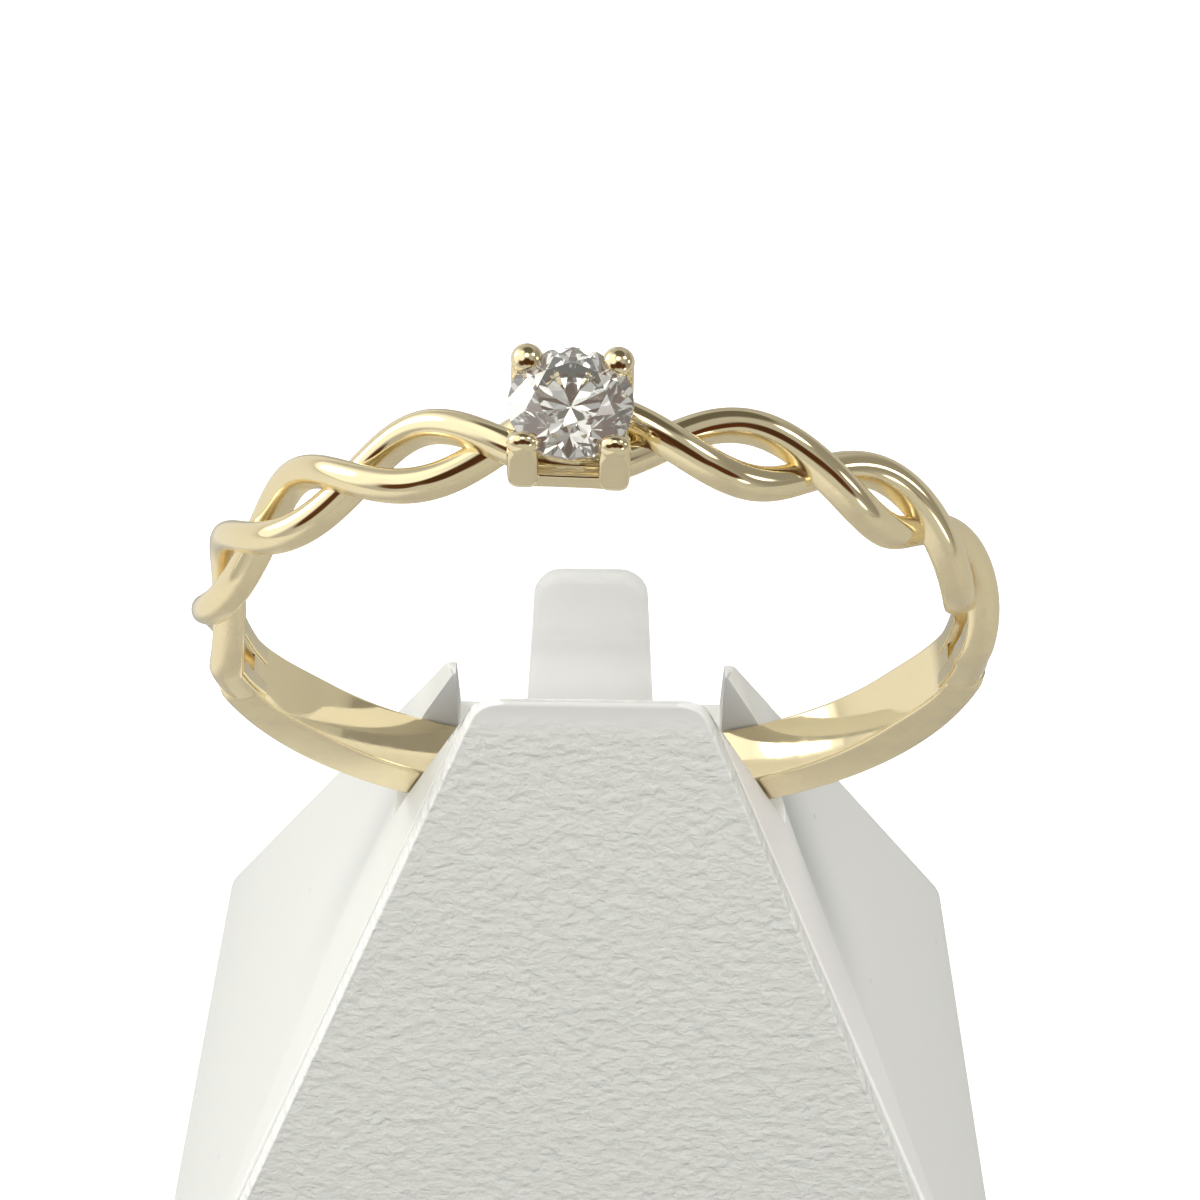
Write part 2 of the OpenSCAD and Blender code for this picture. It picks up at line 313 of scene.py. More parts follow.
tree, given = new_tree("twisted_wires", WIRE_INPUTS)
along = outlet(tree, "GeometryNodeSplineParameter", key="Factor")
angle = maths(tree, "MULTIPLY", maths(tree, "MULTIPLY_ADD", along, 2.0, -1.0), given["Half length"])
far = maths(tree, "ABSOLUTE", angle)
steps = maths(tree, "DIVIDE", far, given["Crossing step"])
steps = maths(tree, "MINIMUM", steps, given["Crossings"])
turn = maths(tree, "MULTIPLY", maths(tree, "MULTIPLY", steps, maths(tree, "SIGN", angle)), math.pi)
closing = eased(tree, far, given["Closing start"], given["Closing end"], 1.0, given["Closed share"])
slimming = eased(tree, far, given["Closing start"], given["Closing end"], 1.0, given["Slimmed share"])
tail = eased(tree, far, given["Tail start"], given["Tail full"], 0.0, given["Tail growth"])
narrowed = maths(tree, "SUBTRACT", 1.0, maths(tree, "MULTIPLY", given["Narrowing"], far))
swing = maths(tree, "MULTIPLY", given["Sway"], maths(tree, "MULTIPLY", narrowed, closing))
reach = maths(tree, "MULTIPLY_ADD", maths(tree, "SINE", turn), given["Rise"], given["Ring radius"])
reach = maths(tree, "MULTIPLY_ADD", tail, 0.5, reach)
sine, cosine = maths(tree, "SINE", angle), maths(tree, "COSINE", angle)
centre = {
    "X": maths(tree, "MULTIPLY", reach, sine),
    "Y": maths(tree, "MULTIPLY", swing, maths(tree, "COSINE", turn)),
    "Z": maths(tree, "MULTIPLY", reach, cosine),
}
middle = outlet(tree, "ShaderNodeCombineXYZ", centre)
line = outlet(tree, "GeometryNodeCurvePrimitiveLine")
line = outlet(tree, "GeometryNodeResampleCurve", {"Curve": line, "Count": given["Sections"]})
line = outlet(tree, "GeometryNodeSetPosition", {"Geometry": line, "Position": middle})
outward = outlet(tree, "ShaderNodeCombineXYZ", {"X": sine, "Z": cosine})
travel = outlet(tree, "GeometryNodeInputTangent")
excess = vector_maths(tree, "SCALE", travel, vector_maths(tree, "DOT_PRODUCT", outward, travel))
upright = vector_maths(tree, "SUBTRACT", outward, excess)
upright = outlet(tree, "ShaderNodeVectorMath", {0: upright}, operation="NORMALIZE")
kept = tree.nodes.new("GeometryNodeCaptureAttribute")
for label, kind, value in (
    ("Middle", "VECTOR", middle),
    ("Upright", "VECTOR", upright),
    ("Slimming", "FLOAT", slimming),
    ("Thickening", "FLOAT", maths(tree, "DIVIDE", tail, given["Wire thickness"])),
):
    kept.capture_items.new(kind, label)
    tree.links.new(value, kept.inputs[label])
tree.links.new(line, kept.inputs["Geometry"])
standing = {"Curve": kept.outputs["Geometry"], "Normal": upright}
line = outlet(tree, "GeometryNodeSetCurveNormal", standing, mode="FREE")
circle = {"Resolution": given["Sides"], "Radius": 1.0}
outline = outlet(tree, "GeometryNodeCurvePrimitiveCircle", circle)
corner = xyz(tree, outlet(tree, "GeometryNodeInputPosition"))
outside = maths(tree, "GREATER_THAN", corner[0], 0.0)
squareness = {"Factor": outside, 2: given["Inner squareness"], 3: given["Outer squareness"]}
power = maths(tree, "DIVIDE", 2.0, outlet(tree, "ShaderNodeMix", squareness))
sides = []
for axis, size in ((0, "Wire thickness"), (1, "Wire width")):
    bulge = maths(tree, "POWER", maths(tree, "ABSOLUTE", corner[axis]), power)
    bulge = maths(tree, "MULTIPLY", bulge, maths(tree, "MULTIPLY", given[size], 0.5))
    sides.append(maths(tree, "MULTIPLY", bulge, maths(tree, "SIGN", corner[axis])))
shape = outlet(tree, "ShaderNodeCombineXYZ", {"X": sides[0], "Y": sides[1]})
outline = outlet(tree, "GeometryNodeSetPosition", {"Geometry": outline, "Position": shape})
run = {"Curve": line, "Profile Curve": outline, "Fill Caps": True}
wire = outlet(tree, "GeometryNodeCurveToMesh", run)
spot = outlet(tree, "GeometryNodeInputPosition")
offset = vector_maths(tree, "SUBTRACT", spot, kept.outputs["Middle"])
height = vector_maths(tree, "DOT_PRODUCT", offset, kept.outputs["Upright"])
rise = vector_maths(tree, "SCALE", kept.outputs["Upright"], height)
across = vector_maths(tree, "SUBTRACT", offset, rise)
across = vector_maths(tree, "SCALE", across, kept.outputs["Slimming"])
rise = vector_maths(tree, "SCALE", rise, maths(tree, "ADD", 1.0, kept.outputs["Thickening"]))
place = vector_maths(tree, "ADD", vector_maths(tree, "ADD", across, rise), kept.outputs["Middle"])
wire = outlet(tree, "GeometryNodeSetPosition", {"Geometry": wire, "Position": place})
end_tree(tree, turned_copies(tree, wire, given["Wires"]), given["Finish"])
wires = grown("twisted_wires", tree, WIRE_INPUTS)
wires.transform(place_ring)


# The shank: a plain band of the same gold, flat inside and softly rounded outside, which starts
# as a slim tip between the ends of the wires and closes the ring under the finger.
SHANK_T = 1.38 * MM
SHANK_W = 1.6 * MM
# places along the ring, here and below, are in degrees from its top
SHANK_START = 103.5
SHANK_FULL_WIDTH = 105.5
SHANK_TIP = 0.85
INSIDE_RECESS = 0.32 * MM
INSIDE_RECESS_END = 125
OUTSIDE_RECESS = 0.12 * MM
OUTSIDE_RECESS_END = 146
SHANK_INSIDE_R = 0.10 * MM
SHANK_OUTSIDE_R = 0.24 * MM
SHANK_STEPS = 180
CORNER_STEPS = 6
SAME_POINT = 0.0005 * MM


def ease(t):
    u = min(1, max(0, t))
    return u * u * (3 - 2 * u)


def rounded(width, low, high, low_r, high_r):
    """An outline across (x) and outwards (y), with its own corner radius inside and outside."""
    corners = (
        (width / 2 - high_r, high - high_r, high_r, 0),
        (-width / 2 + high_r, high - high_r, high_r, 90),
        (-width / 2 + low_r, low + low_r, low_r, 180),
        (width / 2 - low_r, low + low_r, low_r, 270),
    )
    outline = []
    for x, y, r, start in corners:
        for i in range(CORNER_STEPS + 1):
            a = math.radians(start + 90 * i / CORNER_STEPS)
            outline.append((x + r * math.cos(a), y + r * math.sin(a)))
    return outline


def finished(name, bm, material):
    """Closes the seams, turns the faces outwards and hands back a mesh with its material."""
    bmesh.ops.remove_doubles(bm, verts=bm.verts, dist=SAME_POINT)
    bmesh.ops.recalc_face_normals(bm, faces=bm.faces)
    made = bpy.data.meshes.new(name)
    bm.to_mesh(made)
    bm.free()
    made.materials.append(material)
    return made


def lofted(name, rings, material):
    """Joins rings of points into a closed tube with flat ends."""
    bm = bmesh.new()
    rows = [[bm.verts.new(p) for p in ring] for ring in rings]
    for one, two in zip(rows, rows[1:]):
        for i in range(len(one)):
            j = (i + 1) % len(one)
            bm.faces.new((one[i], one[j], two[j], two[i]))
    bm.faces.new(reversed(rows[0]))
    bm.faces.new(rows[-1])
    return finished(name, bm, material)


rings = []
for i in range(SHANK_STEPS + 1):
    a = SHANK_START + (360 - 2 * SHANK_START) * i / SHANK_STEPS
    from_tip = min(a, 360 - a) - SHANK_START
    wide = SHANK_TIP + (1 - SHANK_TIP) * ease(from_tip / (SHANK_FULL_WIDTH - SHANK_START))
    out = Vector((math.sin(math.radians(a)), 0, math.cos(math.radians(a))))
    low = INSIDE_RECESS * (1 - ease(from_tip / (INSIDE_RECESS_END - SHANK_START)))
    high = SHANK_T - OUTSIDE_RECESS * (1 - ease(from_tip / (OUTSIDE_RECESS_END - SHANK_START)))
    section = rounded(
        SHANK_W * wide, RING_INNER_R + low, RING_INNER_R + high, SHANK_INSIDE_R, SHANK_OUTSIDE_R
    )
    rings.append([out * y + Vector((0, x, 0)) for x, y in section])
shank = lofted("shank", rings, gold)
shank.transform(place_ring)


# The head: four square claws joined by a rail, soldered on top of the wires. Each claw ends in a
# small ball that is pressed over the edge of the stone, and is notched where the stone sits.
GIRDLE_H = 10.71 * MM
HEAD_TURN = math.radians(1.6)
CLAW_OFFSET = 1.03 * MM
CLAW_W = 0.72 * MM
CLAW_FOOT_H = GIRDLE_H - 1.68 * MM
CLAW_TOP_H = GIRDLE_H + 0.10 * MM
CLAW_SIDES = 40
BEAD_R = 0.37 * MM
BEAD_H = GIRDLE_H + 0.13 * MM
BEAD_FLATNESS = 0.82
BEAD_SIDES = 40
BEAD_RINGS = 24
FRONT_BEAD_DEPTH = 0.7
PRESS_H = CLAW_TOP_H - 0.12 * MM
PRESS_RUN = 0.15 * MM
RAIL_T = 0.34 * MM
RAIL_LOW_H = CLAW_FOOT_H + 0.03 * MM
RAIL_TOP_H = CLAW_FOOT_H + 0.64 * MM
RAIL_EDGE_R = 0.07 * MM
RAIL_INSET = 0.08 * MM
RAIL_ARCH = 0.05 * MM
RAIL_STEPS = 16
STONE_R = 1.435 * MM
SEAT_GAP = 0.02 * MM
# height up the claw as a share, width as a share, squareness of its section
CLAW_PROFILE = (
    (0.0, 0.56, 3.2),
    (0.012, 0.68, 3.4),
    (0.04, 0.80, 3.8),
    (0.09, 0.89, 4.3),
    (0.16, 0.95, 4.8),
    (0.26, 0.985, 5.3),
    (0.36, 1.0, 5.5),
    (0.60, 1.0, 5.5),
    (0.80, 1.0, 5.0),
    (0.88, 0.985, 4.2),
    (0.94, 0.955, 3.4),
    (0.98, 0.91, 2.8),
    (1.0, 0.86, 2.4),
)
HEAD_INPUTS = (
    ("Claws", "NodeSocketInt", 4),
    ("Finish", "NodeSocketMaterial", gold),
)

place_head = Matrix.Translation(
    RING_CENTRE - Vector((GIRDLE_H * math.sin(RING_ROLL), 0, 0))
) @ Matrix.Rotation(-HEAD_TURN, 4, "Z")


def signed_power(x, p):
    return math.copysign(abs(x) ** p, x)


def joined(name, operation, first, *others):
    """Cuts or joins closed meshes into one closed mesh, with its points in a fixed order."""
    base = put_in_scene(name, first)
    helpers = [put_in_scene(name + "_tool", other) for other in others]
    for helper in helpers:
        cut = base.modifiers.new("cut", "BOOLEAN")
        cut.operation = operation
        cut.solver = "EXACT"
        cut.object = helper
    bm = bmesh.new()
    bm.from_mesh(applied(base))
    for helper in helpers:
        bpy.data.objects.remove(helper)
    for i, vert in enumerate(sorted(bm.verts, key=lambda vert: vert.co[:])):
        vert.index = i
    for i, face in enumerate(sorted(bm.faces, key=lambda face: face.calc_center_median()[:])):
        face.index = i
    bm.verts.sort()
    bm.faces.sort()
    return finished(name, bm, gold)


rings = []
for up, wide, squareness in CLAW_PROFILE:
    centre = Vector((-CLAW_OFFSET, -CLAW_OFFSET, CLAW_FOOT_H + up * (CLAW_TOP_H - CLAW_FOOT_H)))
    bend = 2 / squareness
    ring = []
    for i in range(CLAW_SIDES):
        a = math.tau * (i + 0.5) / CLAW_SIDES
        across = Vector((signed_power(math.cos(a), bend), signed_power(math.sin(a), bend), 0))
        ring.append(across * CLAW_W * wide / 2 + centre)
    rings.append(ring)
claw = lofted("claw", rings, gold)
bm = bmesh.new()
bmesh.ops.create_uvsphere(bm, u_segments=BEAD_SIDES, v_segments=BEAD_RINGS, radius=BEAD_R)
bmesh.ops.scale(bm, vec=(1, 1, BEAD_FLATNESS), verts=bm.verts)
bmesh.ops.translate(bm, vec=(-CLAW_OFFSET, -CLAW_OFFSET, BEAD_H), verts=bm.verts)
bead = finished("bead", bm, gold)
rings = []
rail_y = RAIL_INSET + RAIL_T / 2 - CLAW_OFFSET - CLAW_W / 2
for i in range(RAIL_STEPS + 1):
    s = -1 + 2 * i / RAIL_STEPS
    arch = RAIL_ARCH * (1 - s ** 4)
    section = rounded(RAIL_T, RAIL_LOW_H + arch, RAIL_TOP_H - arch, RAIL_EDGE_R, RAIL_EDGE_R)
    rings.append([(s * CLAW_OFFSET, rail_y + y, z) for y, z in section])
rail = lofted("rail", rings, gold)
side = joined("head_side", "UNION", claw, bead, rail)

bm = bmesh.new()
bm.from_mesh(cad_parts["diamond"].data)
bm.transform(place_head.inverted())
bm.transform(
    Matrix.Translation((0, 0, GIRDLE_H))
    @ Matrix.Scale((STONE_R + SEAT_GAP) / STONE_R, 4)
    @ Matrix.Translation((0, 0, -GIRDLE_H))
)
seat = finished("seat", bm, gold)
notched = joined("notched_side", "DIFFERENCE", side, seat)

tree, given = new_tree("four_claws", HEAD_INPUTS)
end_tree(tree, turned_copies(tree, given["Geometry"], given["Claws"]), given["Finish"])
head = grown("head", tree, HEAD_INPUTS, notched)
claw_front = -CLAW_OFFSET - CLAW_W / 2
for vert in head.vertices:
    if vert.co.y < 0:
        pressed = (1 - FRONT_BEAD_DEPTH) * ease((vert.co.z - PRESS_H) / PRESS_RUN)
        vert.co.y -= pressed * (vert.co.y - claw_front)
head.transform(place_head)


# The gold ring as one piece: wires, shank and head are soldered together and polished, with a
# softer sheen on the flat sides, and faint tool and wear marks all over.
SATIN_START = 0.72
SATIN_SPAN = 0.22
SATIN_ROUGHNESS = 0.3
SATIN_DENTS = 0.195
POLISH_DENTS = 0.035
POLISH_ROUGHNESS = (0.05, 0.13)
HAZE_RANGE = (0.35, 0.7)
FILM_GOLD = (0.86, 0.73, 0.50, 1)
FILM_RANGE = (0.42, 0.72)
FILM_MOST = 0.75
FILM_ON_POLISH = 0.25
RING_SHARP_ANGLE = 38
DENT_DEPTH = 0.04 * MM


def show(name, mesh, sharp_angle):
    """Puts a finished mesh in the scene, smooth apart from its sharp edges."""
    mesh.shade_smooth()
    mesh.set_sharp_from_angle(angle=math.radians(sharp_angle))
    return put_in_scene(name, mesh)


def noise(tree, place, scale, detail, **others):
    inputs = {"Vector": place, "Scale": scale, "Detail": detail, **others}
    return outlet(tree, "ShaderNodeTexNoise", inputs, key="Fac")


def attribute(tree, name):
    return outlet(tree, "ShaderNodeAttribute", key="Fac", attribute_name=name)


def dent(tree, shader, height, strength, depth):
    """Presses a pattern into a finish as fine dents."""
    inputs = {"Height": height, "Strength": strength, "Distance": depth}
    tree.links.new(outlet(tree, "ShaderNodeBump", inputs), shader.inputs["Normal"])


bm = bmesh.new()
for part in (wires, shank):
    bm.from_mesh(part)
bmesh.ops.recalc_face_normals(bm, faces=bm.faces)
bm.normal_update()
satin = bm.verts.layers.float.new("satin")
for vert in bm.verts:
    vert[satin] = ease((abs(vert.normal.y) - SATIN_START) / SATIN_SPAN)
bm.from_mesh(head)
ring = show("gold_ring_finished", finished("gold_ring_finished", bm, gold), RING_SHARP_ANGLE)
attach(ring, "root")
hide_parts("gold_ring")

place = outlet(gold_tree, "ShaderNodeTexCoord", key="Object")
side_share = attribute(gold_tree, "satin")
haze = noise(gold_tree, place, scale=1800.0, detail=3.0)
polish = eased(gold_tree, haze, *HAZE_RANGE, *POLISH_ROUGHNESS, way="LINEAR")
sheen = outlet(gold_tree, "ShaderNodeMix", {"Factor": side_share, 2: polish, 3: SATIN_ROUGHNESS})
gold_tree.links.new(sheen, gold_shader.inputs["Roughness"])
film = noise(gold_tree, place, scale=1300.0, detail=4.0, Roughness=0.65)
film = eased(gold_tree, film, *FILM_RANGE, high=FILM_MOST, way="LINEAR")
held = maths(gold_tree, "MULTIPLY_ADD", side_share, 1 - FILM_ON_POLISH, FILM_ON_POLISH)
film = maths(gold_tree, "MULTIPLY", film, held)
gold_tree.links.new(toned(gold_tree, film, GOLD, FILM_GOLD), gold_shader.inputs["Base Color"])
scratches = noise(gold_tree, place, scale=1500.0, detail=3.0)
uneven = maths(gold_tree, "MULTIPLY_ADD", side_share, SATIN_DENTS - POLISH_DENTS, POLISH_DENTS)
dent(gold_tree, gold_shader, scratches, strength=uneven, depth=DENT_DEPTH)


# The diamond: one round brilliant, colourless, with a flat table, a faceted crown and a deep
# faceted underside that throws the light back up. It keeps the shape of the part's own solid.
# The stone's faint emission is a painted glow; the stone is no lamp.
cut_diamond = new_material(
    "cut_diamond",
    Base_Color=(0.975, 0.962, 0.915, 1),
    Emission_Color=(1, 0.98, 0.92, 1),
    Emission_Strength=0.025,
    Roughness=0.03,
    IOR=2.417,
    Transmission_Weight=1.0,
)[0]
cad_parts["diamond"].data.materials.clear()
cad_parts["diamond"].data.materials.append(cut_diamond)


# The stand's block: a tapered block covered in smooth white leatherette, with a slot for the ring,
# two ears behind it, and a shallow soft valley in the cover down each side. The slot's walls and
# the valleys are darkened with painted shade.
EDGE_R = 0.06 * MM
EDGE_STEPS = 3
EDGE_ANGLE = 24
MERGE = 0.002 * MM
FLAT_ANGLE = 0.4
PANEL_H = 31.35 * MM
PANEL_FRONT_Y = (-9.15 * MM, -0.10 * MM)
PANEL_LEAN = math.atan2(PANEL_FRONT_Y[1] - PANEL_FRONT_Y[0], PANEL_H)
COVER_PITCH = 0.5 * MM
COVER_ROUNDS = 11
FOLD_PITCH = 0.22 * MM
FOLD_SHARE = 0.03
SLOT_Y = (0.02 * MM, 1.95 * MM)
SLOT_SLACK = 0.02 * MM
GAP_X = (-3.45 * MM, 3.65 * MM)
SQUARE_ON = 0.6
SLOT_FLOOR_H = 24.0 * MM
SLOT_SHADE_FADE = 1.5 * MM
TURNED_W = 2.4 * MM
TURNED_START_H = 15 * MM
TURNED_RUN = 9 * MM
TURNED_CRISP = 0.6
TURNED_LEAST_FADE = 0.01 * MM
STAND_SHARP_ANGLE = 32
# start, end, half width and depth, all in millimetres
VALLEYS = (
    ((5.43, 1.73, 23.0), (8.1, -1.09, 14.9), 1.05, 0.42),
    ((-5.1, 0.75, 23.8), (-8.0, -0.25, 14.1), 0.7, 0.16),
)
VALLEY_LEAD = 0.25
COVER_WHITE = (0.84, 0.847, 0.82, 1)
SPECK_GREY = (0.55, 0.55, 0.53, 1)
# painted tones for the cover along the panel's sides: a touch of painted shade on the left, painted
# light on the right
PAINTED_SHADE_TURNED_LEFT = (0.83, 0.84, 0.80, 1)
PAINTED_LIGHT_TURNED_RIGHT = (0.86, 0.84, 0.825, 1)
SPECK_SCALE = 420.0
SPECK_SIZE = (0.02, 0.045)
SPECK_STRENGTH = 0.75
# painted shade for the valleys
FOLD_PAINTED_SHADE = (0.46, 0.47, 0.46, 1)
FOLD_SHADE_STRENGTH = 0.9
# painted shade for the slot's walls and the ears' inner faces
SLOT_PAINTED_SHADE = (0.6, 0.61, 0.61, 1)


def softened(name, node, radius, segments):
    """A copy of a part's solid with its hard edges rounded over."""
    bm = bmesh.new()
    bm.from_mesh(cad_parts[node].data)
    bmesh.ops.remove_doubles(bm, verts=bm.verts, dist=MERGE)
    bmesh.ops.dissolve_limit(
        bm, angle_limit=math.radians(FLAT_ANGLE), verts=bm.verts, edges=bm.edges, delimit=set()
    )
    bmesh.ops.recalc_face_normals(bm, faces=bm.faces)
    solid = bpy.data.meshes.new(name)
    bm.to_mesh(solid)
    bm.free()
    host = put_in_scene(name, solid)
    edge = host.modifiers.new("edge", "BEVEL")
    edge.width = radius
    edge.segments = segments
    edge.limit_method = "ANGLE"
    edge.angle_limit = math.radians(EDGE_ANGLE)
    edge.harden_normals = False
    return applied(host)


def valley_push(spot, valley):
    """How far a valley presses the cover in at a point, and 0 away from it."""
    start, end, wide, deep = valley
    start, end = Vector(start) * MM, Vector(end) * MM
    if spot.x * start.x < 0:
        return 0.0
    run = end - start
    along = (spot - start).dot(run) / run.length_squared
    far = (spot - start - run * along).length / (wide * MM * (1 + max(0, along)))
    lead_in = ease((along + VALLEY_LEAD) / VALLEY_LEAD)
    return deep * MM * math.exp(-far * far) * lead_in * (1 - ease(along))


def is_folded(spot):
    return any(valley_push(spot, valley) > FOLD_SHARE * valley[3] * MM for valley in VALLEYS)


bm = bmesh.new()
bm.from_mesh(softened("stand_cover", "stand_body", EDGE_R, EDGE_STEPS))
bmesh.ops.remove_doubles(bm, verts=bm.verts, dist=MERGE)
for _ in range(COVER_ROUNDS):
    bmesh.ops.triangulate(bm, faces=bm.faces)
    bmesh.ops.dissolve_degenerate(bm, dist=SAME_POINT, edges=bm.edges)
    long_edges = []
    for edge in bm.edges:
        length, middle = edge.calc_length(), (edge.verts[0].co + edge.verts[1].co) / 2
        if length > COVER_PITCH or (length > FOLD_PITCH and is_folded(middle)):
            long_edges.append(edge)
    if not long_edges:
        break
    bmesh.ops.subdivide_edges(bm, edges=long_edges, cuts=1)
bmesh.ops.triangulate(bm, faces=bm.faces)
bm.normal_update()
# Each point keeps how far the valley pressed it in; the material turns this into painted shade down
# the valley.
fold_shade = bm.verts.layers.float.new("fold_shade")
for valley in VALLEYS:
    for vert in bm.verts:
        push = valley_push(vert.co, valley)
        vert.co.x -= math.copysign(push, vert.co.x)
        vert[fold_shade] = max(vert[fold_shade], push / VALLEYS[0][3] / MM)
# Painted shade on the slot's walls and the ears' inner faces, fading out towards the slot floor.
slot_shade = bm.faces.layers.float.new("slot_shade")
for face in bm.faces:
    spot, facing = face.calc_center_median(), face.normal
    in_slot = SLOT_Y[0] < spot.y < SLOT_Y[1] + SLOT_SLACK and abs(facing.y) > SQUARE_ON
    in_gap = spot.y > SLOT_Y[0] and GAP_X[0] < spot.x < GAP_X[1] and abs(facing.x) > SQUARE_ON
    if in_slot or in_gap:
        face[slot_shade] = ease((spot.z - SLOT_FLOOR_H) / SLOT_SHADE_FADE)
# The cover along each side of the panel, widening higher up, gets a painted tone: a touch of painted
# shade on the left and painted light on the right.
turned = bm.verts.layers.float.new("turned")
for vert in bm.verts:
    x, y, z = vert.co
    behind_front = (y - PANEL_FRONT_Y[0]) * math.cos(PANEL_LEAN) - z * math.sin(PANEL_LEAN)
    reach = TURNED_W * min(1, max(0, (z - TURNED_START_H) / TURNED_RUN))
    fade = (1 - TURNED_CRISP) * reach + TURNED_LEAST_FADE
    share = 1 - ease((behind_front - TURNED_CRISP * reach) / fade)
    vert[turned] = math.copysign(share, x)
white_cover, tree, shader = new_material("white_leatherette", Roughness=0.55)
stand = show("stand_cover", finished("stand_cover", bm, white_cover), STAND_SHARP_ANGLE)
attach(stand, "root")
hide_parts("stand_body")

place = outlet(tree, "ShaderNodeTexCoord", key="Object")
cells = {"Vector": place, "Scale": SPECK_SCALE}
specks = outlet(tree, "ShaderNodeTexVoronoi", cells, key="Distance")
specks = eased(tree, specks, *SPECK_SIZE, low=SPECK_STRENGTH, high=0.0, way="LINEAR")
cover = toned(tree, specks, COVER_WHITE, SPECK_GREY)
painted_edge_side = attribute(tree, "turned")
# Painted shade on the left strip, painted light on the right strip.
for side, tone in ((-1.0, PAINTED_SHADE_TURNED_LEFT), (1.0, PAINTED_LIGHT_TURNED_RIGHT)):
    cover = toned(tree, maths(tree, "MULTIPLY", painted_edge_side, side), cover, tone)
# Painted shade darkens the cover down each valley.
fold_shading = maths(tree, "MULTIPLY", attribute(tree, "fold_shade"), FOLD_SHADE_STRENGTH)
cover = toned(tree, fold_shading, cover, FOLD_PAINTED_SHADE)
# Painted shade in the slot.
cover = toned(tree, attribute(tree, "slot_shade"), cover, SLOT_PAINTED_SHADE)
tree.links.new(cover, shader.inputs["Base Color"])
grain = noise(tree, place, scale=3500.0, detail=3.0)
dent(tree, shader, grain, strength=0.12, depth=DENT_DEPTH)


# The front panel: a facing of pale grey leatherette with a fine crinkled grain, glued on the
# sloping front of the block. Its edges are pressed smooth and turned over, and their rim is
# painted paler as painted light, most along the left edge.
PANEL_FOOT = 13.1 * MM
PANEL_CORNER_R = 0.8 * MM
PANEL_TOP = 2.98 * MM - PANEL_CORNER_R
PANEL_SHIFT = 0.1 * MM
PANEL_BACK_Y = 0.08 * MM
PANEL_T = 0.45 * MM
PANEL_ROWS = 246
PANEL_CORNER_ROWS = 14
PANEL_PITCH = 0.125 * MM
# where the columns stand at each side, measured in from the edge
EDGE_COLUMNS = (0.0, 0.02, 0.05, 0.09, 0.14, 0.2, 0.28, 0.37)
TURNED_R = 0.07 * MM
SMOOTH_START = 0.25 * MM
SMOOTH_RUN = 1.0 * MM
SMOOTH_SINK = 0.02 * MM
RIM_W = 0.07 * MM
RIM_RIGHT_SHARE = 0.35
RIM_BACK_SHARE = 0.4
RIM_TOP_BAND = 0.3 * MM
RIM_BARENESS = 2.5
FRONT_FACING = -0.5
# painted light on the panel's rim
RIM_PAINTED_LIGHT = (0.88, 0.885, 0.86, 1)
PANEL_GREY = (0.607, 0.617, 0.586, 1)
PANEL_SMOOTH_GREY = (0.60, 0.60, 0.58, 1)
PANEL_SHARP_ANGLE = 50
FINE_GRAIN_SCALE = (2600.0, 2600.0, 2900.0)
FINE_GRAIN_DEPTH = 0.15 * MM


def panel_edge(side, t):
    """A point (x, z) of the panel's side and top corner; t goes 0 to 1 up the side, 1 to 2 round."""
    centre = Vector((PANEL_SHIFT + side * PANEL_TOP, PANEL_H - PANEL_CORNER_R))
    reach = Vector((side * PANEL_FOOT, 0)) - centre
    mirrored = math.atan2(reach.y, side * reach.x)
    tangent = mirrored + math.acos(PANEL_CORNER_R / reach.length)
    a = tangent + (math.pi / 2 - tangent) * max(0, t - 1)
    top = centre + PANEL_CORNER_R * Vector((side * math.cos(a), math.sin(a)))
    return Vector((side * PANEL_FOOT, 0)).lerp(top, min(1, t))


def from_border(x, z):
    """How far a point lies inside the side and the top of the panel, and which side it is on."""
    side = 1 if x > PANEL_SHIFT else -1
    centre = Vector((PANEL_SHIFT + side * PANEL_TOP, PANEL_H - PANEL_CORNER_R))
    foot, top = panel_edge(side, 0), panel_edge(side, 1)
    run = (top - foot).normalized()
    to_side = abs(run.x * (z - foot.y) - run.y * (x - foot.x))
    if z > top.y and side * (x - centre.x) > 0:
        to_side = PANEL_CORNER_R - (Vector((x, z)) - centre).length
    return to_side, PANEL_H - z, side


heights = [i / PANEL_ROWS for i in range(PANEL_ROWS + 1)]
heights += [1 + i / PANEL_CORNER_ROWS for i in range(1, PANEL_CORNER_ROWS + 1)]
shares = [i * PANEL_PITCH / (2 * PANEL_FOOT) for i in range(1, int(2 * PANEL_FOOT / PANEL_PITCH))]
near = [d * MM for d in EDGE_COLUMNS]
bm = bmesh.new()
plain = bm.verts.layers.float.new("plain")
rim = bm.verts.layers.float.new("rim")
front_rows = []
for t in heights:
    left, right = panel_edge(-1, t), panel_edge(1, t)
    wide = right.x - left.x
    columns = [d / wide for d in near] + [1 - d / wide for d in near]
    first, last = near[-1] / wide, 1 - near[-1] / wide
    columns += [first + (last - first) * s for s in shares]
    row = []
    for s in sorted(columns):
        x, z = left.lerp(right, s)
        side_d, top_d, side = from_border(x, z)
        d = max(0.0, min(side_d, top_d))
        round_off = TURNED_R - math.sqrt(max(0, TURNED_R ** 2 - max(0, TURNED_R - d) ** 2))
        smooth = 1 - ease((top_d - SMOOTH_START) / SMOOTH_RUN)
        y = PANEL_FRONT_Y[0] + z * math.tan(PANEL_LEAN) + round_off + SMOOTH_SINK * smooth ** 2
        vert = bm.verts.new((x, y, z))
        vert[plain] = smooth
        # The rim share keeps the edge free of grain and paints it paler as painted light, fully on
        # the left side and weaker on the right.
        vert[rim] = (1 - ease(side_d / RIM_W)) * (1.0 if side < 0 else RIM_RIGHT_SHARE)
        row.append(vert)
    front_rows.append(row)
